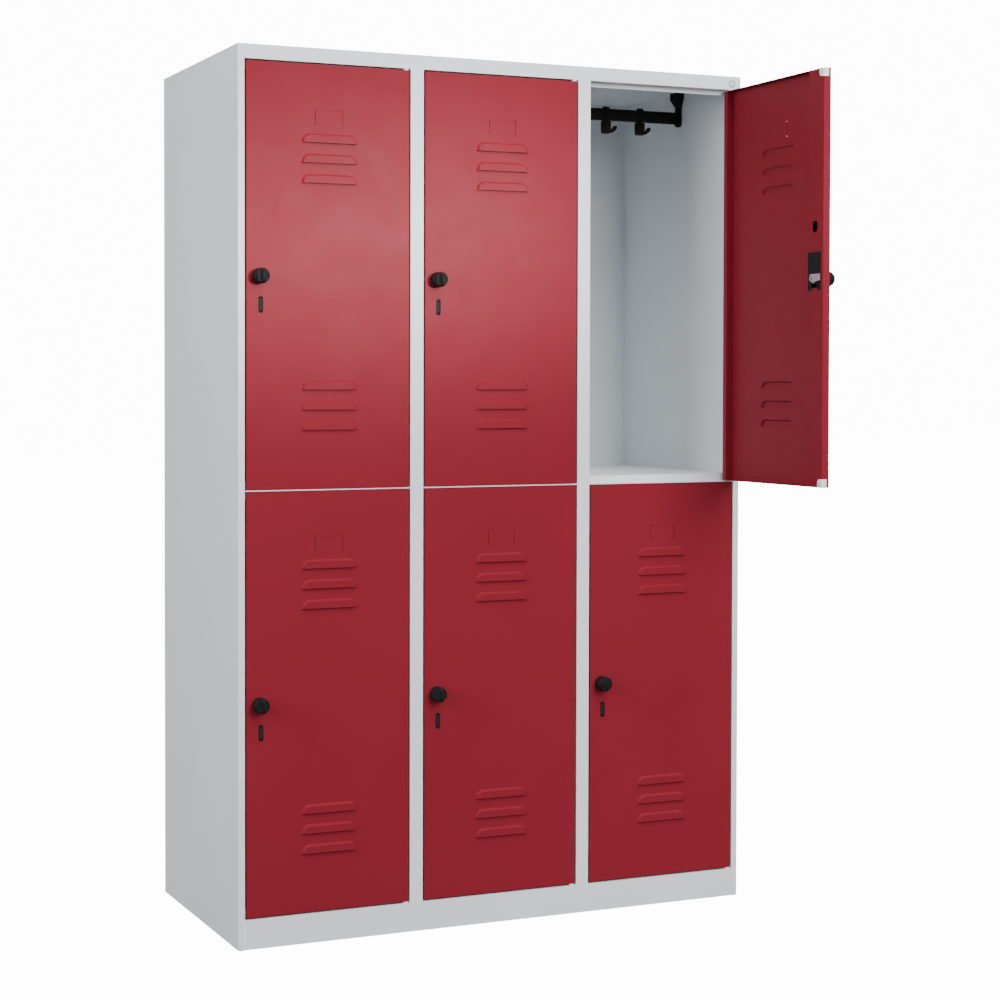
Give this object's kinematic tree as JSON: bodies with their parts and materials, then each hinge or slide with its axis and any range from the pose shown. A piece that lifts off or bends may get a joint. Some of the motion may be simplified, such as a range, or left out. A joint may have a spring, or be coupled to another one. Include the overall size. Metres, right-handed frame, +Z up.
{
  "type": "school locker",
  "caption": "Steel school locker with stacked compartments behind louvred, right-hinged doors with turn-knob locks and padlock eyes, and a coat rail with sliding hooks in each.",
  "frame": {"origin": "on the floor, under the middle of the locker's body", "axes": "+Z up, +X to the right along the front as seen by someone facing the doors, +Y from the front face into the locker"},
  "size_m": [1.211, 0.8528, 1.85],
  "materials": {
    "red_paint": "smooth semi-gloss powder coat",
    "grey_paint": "smooth satin powder coat",
    "black_plastic": "satin moulded",
    "white_plastic": "satin moulded",
    "zinc_steel": "zinc plated",
    "dark_steel": "blackened",
    "badge_steel": "satin plate"
  },
  "bodies": {
    "carcass": {"back_panel": "grey_paint", "badge": "badge_steel", "base_panel": "grey_paint", "coat_rails": "black_plastic", "glides": "black_plastic", "left_partition": "grey_paint", "left_side": "grey_paint", "mid_shelves": "grey_paint", "pivot_bushes": "white_plastic", "pivot_pins": "zinc_steel", "plinth": "grey_paint", "rail_brackets": "black_plastic", "right_partition": "grey_paint", "right_side": "grey_paint", "top_panel": "grey_paint"},
    "upper_left_door": {"upper_left_door_panel": "red_paint", "upper_left_lock_case": "black_plastic", "upper_left_buffers": "white_plastic"},
    "upper_left_knob": {"upper_left_knob": "black_plastic"},
    "upper_left_bolt": {"upper_left_bolt": "zinc_steel"},
    "upper_left_padlock_eye": {"upper_left_padlock_eye": "dark_steel"},
    "upper_left_hooks": {"upper_left_hooks": "black_plastic"},
    "upper_middle_door": {"upper_middle_door_panel": "red_paint", "upper_middle_lock_case": "black_plastic", "upper_middle_buffers": "white_plastic"},
    "upper_middle_knob": {"upper_middle_knob": "black_plastic"},
    "upper_middle_bolt": {"upper_middle_bolt": "zinc_steel"},
    "upper_middle_padlock_eye": {"upper_middle_padlock_eye": "dark_steel"},
    "upper_middle_hooks": {"upper_middle_hooks": "black_plastic"},
    "upper_right_door": {"upper_right_door_panel": "red_paint", "upper_right_lock_case": "black_plastic", "upper_right_buffers": "white_plastic"},
    "upper_right_knob": {"upper_right_knob": "black_plastic"},
    "upper_right_bolt": {"upper_right_bolt": "zinc_steel"},
    "upper_right_padlock_eye": {"upper_right_padlock_eye": "dark_steel"},
    "upper_right_left_hook": {"upper_right_left_hook": "black_plastic"},
    "upper_right_middle_hook": {"upper_right_middle_hook": "black_plastic"},
    "upper_right_right_hook": {"upper_right_right_hook": "black_plastic"},
    "lower_left_door": {"lower_left_door_panel": "red_paint", "lower_left_lock_case": "black_plastic", "lower_left_buffers": "white_plastic"},
    "lower_left_knob": {"lower_left_knob": "black_plastic"},
    "lower_left_bolt": {"lower_left_bolt": "zinc_steel"},
    "lower_left_padlock_eye": {"lower_left_padlock_eye": "dark_steel"},
    "lower_left_hooks": {"lower_left_hooks": "black_plastic"},
    "lower_middle_door": {"lower_middle_door_panel": "red_paint", "lower_middle_lock_case": "black_plastic", "lower_middle_buffers": "white_plastic"},
    "lower_middle_knob": {"lower_middle_knob": "black_plastic"},
    "lower_middle_bolt": {"lower_middle_bolt": "zinc_steel"},
    "lower_middle_padlock_eye": {"lower_middle_padlock_eye": "dark_steel"},
    "lower_middle_hooks": {"lower_middle_hooks": "black_plastic"},
    "lower_right_door": {"lower_right_door_panel": "red_paint", "lower_right_lock_case": "black_plastic", "lower_right_buffers": "white_plastic"},
    "lower_right_knob": {"lower_right_knob": "black_plastic"},
    "lower_right_bolt": {"lower_right_bolt": "zinc_steel"},
    "lower_right_padlock_eye": {"lower_right_padlock_eye": "dark_steel"},
    "lower_right_hooks": {"lower_right_hooks": "black_plastic"}
  },
  "joints": [
    {"name": "upper_left_door_hinge", "type": "hinge", "parent": "carcass", "child": "upper_left_door", "pos_m": [-0.224, -0.244, 1.38], "axis": [0, 0, 1], "range_deg": [0, 105]},
    {"name": "upper_left_knob_turn", "type": "hinge", "parent": "upper_left_door", "child": "upper_left_knob", "pos_m": [-0.5535, -0.25, 1.38], "axis": [0, -1, 0], "range_deg": [0, 90]},
    {"name": "upper_left_bolt_slide", "type": "slide", "parent": "upper_left_door", "child": "upper_left_bolt", "axis": [-1, 0, 0], "range_m": [0, 0.016]},
    {"name": "upper_left_padlock_eye_slide", "type": "slide", "parent": "upper_left_door", "child": "upper_left_padlock_eye", "axis": [0, -1, 0], "range_m": [0, 0.013]},
    {"name": "upper_left_hooks_slide", "type": "slide", "parent": "carcass", "child": "upper_left_hooks", "axis": [1, 0, 0], "range_m": [-0.03, 0.03]},
    {"name": "upper_middle_door_hinge", "type": "hinge", "parent": "carcass", "child": "upper_middle_door", "pos_m": [0.176, -0.244, 1.38], "axis": [0, 0, 1], "range_deg": [0, 105]},
    {"name": "upper_middle_knob_turn", "type": "hinge", "parent": "upper_middle_door", "child": "upper_middle_knob", "pos_m": [-0.1535, -0.25, 1.38], "axis": [0, -1, 0], "range_deg": [0, 90]},
    {"name": "upper_middle_bolt_slide", "type": "slide", "parent": "upper_middle_door", "child": "upper_middle_bolt", "axis": [-1, 0, 0], "range_m": [0, 0.016]},
    {"name": "upper_middle_padlock_eye_slide", "type": "slide", "parent": "upper_middle_door", "child": "upper_middle_padlock_eye", "axis": [0, -1, 0], "range_m": [0, 0.013]},
    {"name": "upper_middle_hooks_slide", "type": "slide", "parent": "carcass", "child": "upper_middle_hooks", "axis": [1, 0, 0], "range_m": [-0.03, 0.03]},
    {"name": "upper_right_door_hinge", "type": "hinge", "parent": "carcass", "child": "upper_right_door", "pos_m": [0.576, -0.244, 1.38], "axis": [0, 0, 1], "range_deg": [-90, 15]},
    {"name": "upper_right_knob_turn", "type": "hinge", "parent": "upper_right_door", "child": "upper_right_knob", "pos_m": [0.582, -0.5735, 1.38], "axis": [1, 0, 0], "range_deg": [0, 90]},
    {"name": "upper_right_bolt_slide", "type": "slide", "parent": "upper_right_door", "child": "upper_right_bolt", "axis": [0, -1, 0], "range_m": [0, 0.016]},
    {"name": "upper_right_padlock_eye_slide", "type": "slide", "parent": "upper_right_door", "child": "upper_right_padlock_eye", "axis": [1, 0, 0], "range_m": [0, 0.013]},
    {"name": "upper_right_left_hook_slide", "type": "slide", "parent": "carcass", "child": "upper_right_left_hook", "axis": [1, 0, 0], "range_m": [-0.03, 0.03]},
    {"name": "upper_right_middle_hook_slide", "type": "slide", "parent": "carcass", "child": "upper_right_middle_hook", "axis": [1, 0, 0], "range_m": [-0.03, 0.03]},
    {"name": "upper_right_right_hook_slide", "type": "slide", "parent": "carcass", "child": "upper_right_right_hook", "axis": [1, 0, 0], "range_m": [-0.03, 0.03]},
    {"name": "lower_left_door_hinge", "type": "hinge", "parent": "carcass", "child": "lower_left_door", "pos_m": [-0.224, -0.244, 0.5035], "axis": [0, 0, 1], "range_deg": [0, 105]},
    {"name": "lower_left_knob_turn", "type": "hinge", "parent": "lower_left_door", "child": "lower_left_knob", "pos_m": [-0.5535, -0.25, 0.5035], "axis": [0, -1, 0], "range_deg": [0, 90]},
    {"name": "lower_left_bolt_slide", "type": "slide", "parent": "lower_left_door", "child": "lower_left_bolt", "axis": [-1, 0, 0], "range_m": [0, 0.016]},
    {"name": "lower_left_padlock_eye_slide", "type": "slide", "parent": "lower_left_door", "child": "lower_left_padlock_eye", "axis": [0, -1, 0], "range_m": [0, 0.013]},
    {"name": "lower_left_hooks_slide", "type": "slide", "parent": "carcass", "child": "lower_left_hooks", "axis": [1, 0, 0], "range_m": [-0.03, 0.03]},
    {"name": "lower_middle_door_hinge", "type": "hinge", "parent": "carcass", "child": "lower_middle_door", "pos_m": [0.176, -0.244, 0.5035], "axis": [0, 0, 1], "range_deg": [0, 105]},
    {"name": "lower_middle_knob_turn", "type": "hinge", "parent": "lower_middle_door", "child": "lower_middle_knob", "pos_m": [-0.1535, -0.25, 0.5035], "axis": [0, -1, 0], "range_deg": [0, 90]},
    {"name": "lower_middle_bolt_slide", "type": "slide", "parent": "lower_middle_door", "child": "lower_middle_bolt", "axis": [-1, 0, 0], "range_m": [0, 0.016]},
    {"name": "lower_middle_padlock_eye_slide", "type": "slide", "parent": "lower_middle_door", "child": "lower_middle_padlock_eye", "axis": [0, -1, 0], "range_m": [0, 0.013]},
    {"name": "lower_middle_hooks_slide", "type": "slide", "parent": "carcass", "child": "lower_middle_hooks", "axis": [1, 0, 0], "range_m": [-0.03, 0.03]},
    {"name": "lower_right_door_hinge", "type": "hinge", "parent": "carcass", "child": "lower_right_door", "pos_m": [0.576, -0.244, 0.5035], "axis": [0, 0, 1], "range_deg": [0, 105]},
    {"name": "lower_right_knob_turn", "type": "hinge", "parent": "lower_right_door", "child": "lower_right_knob", "pos_m": [0.2465, -0.25, 0.5035], "axis": [0, -1, 0], "range_deg": [0, 90]},
    {"name": "lower_right_bolt_slide", "type": "slide", "parent": "lower_right_door", "child": "lower_right_bolt", "axis": [-1, 0, 0], "range_m": [0, 0.016]},
    {"name": "lower_right_padlock_eye_slide", "type": "slide", "parent": "lower_right_door", "child": "lower_right_padlock_eye", "axis": [0, -1, 0], "range_m": [0, 0.013]},
    {"name": "lower_right_hooks_slide", "type": "slide", "parent": "carcass", "child": "lower_right_hooks", "axis": [1, 0, 0], "range_m": [-0.03, 0.03]}
  ],
  "couplings": [
    {"joint": "upper_left_bolt_slide", "follows": "upper_left_knob_turn", "m_per_rad": 0.01018},
    {"joint": "upper_left_padlock_eye_slide", "follows": "upper_left_knob_turn", "m_per_rad": 0.00827},
    {"joint": "upper_middle_bolt_slide", "follows": "upper_middle_knob_turn", "m_per_rad": 0.01018},
    {"joint": "upper_middle_padlock_eye_slide", "follows": "upper_middle_knob_turn", "m_per_rad": 0.00827},
    {"joint": "upper_right_bolt_slide", "follows": "upper_right_knob_turn", "m_per_rad": 0.01018},
    {"joint": "upper_right_padlock_eye_slide", "follows": "upper_right_knob_turn", "m_per_rad": 0.00827},
    {"joint": "lower_left_bolt_slide", "follows": "lower_left_knob_turn", "m_per_rad": 0.01018},
    {"joint": "lower_left_padlock_eye_slide", "follows": "lower_left_knob_turn", "m_per_rad": 0.00827},
    {"joint": "lower_middle_bolt_slide", "follows": "lower_middle_knob_turn", "m_per_rad": 0.01018},
    {"joint": "lower_middle_padlock_eye_slide", "follows": "lower_middle_knob_turn", "m_per_rad": 0.00827},
    {"joint": "lower_right_bolt_slide", "follows": "lower_right_knob_turn", "m_per_rad": 0.01018},
    {"joint": "lower_right_padlock_eye_slide", "follows": "lower_right_knob_turn", "m_per_rad": 0.00827}
  ]
}
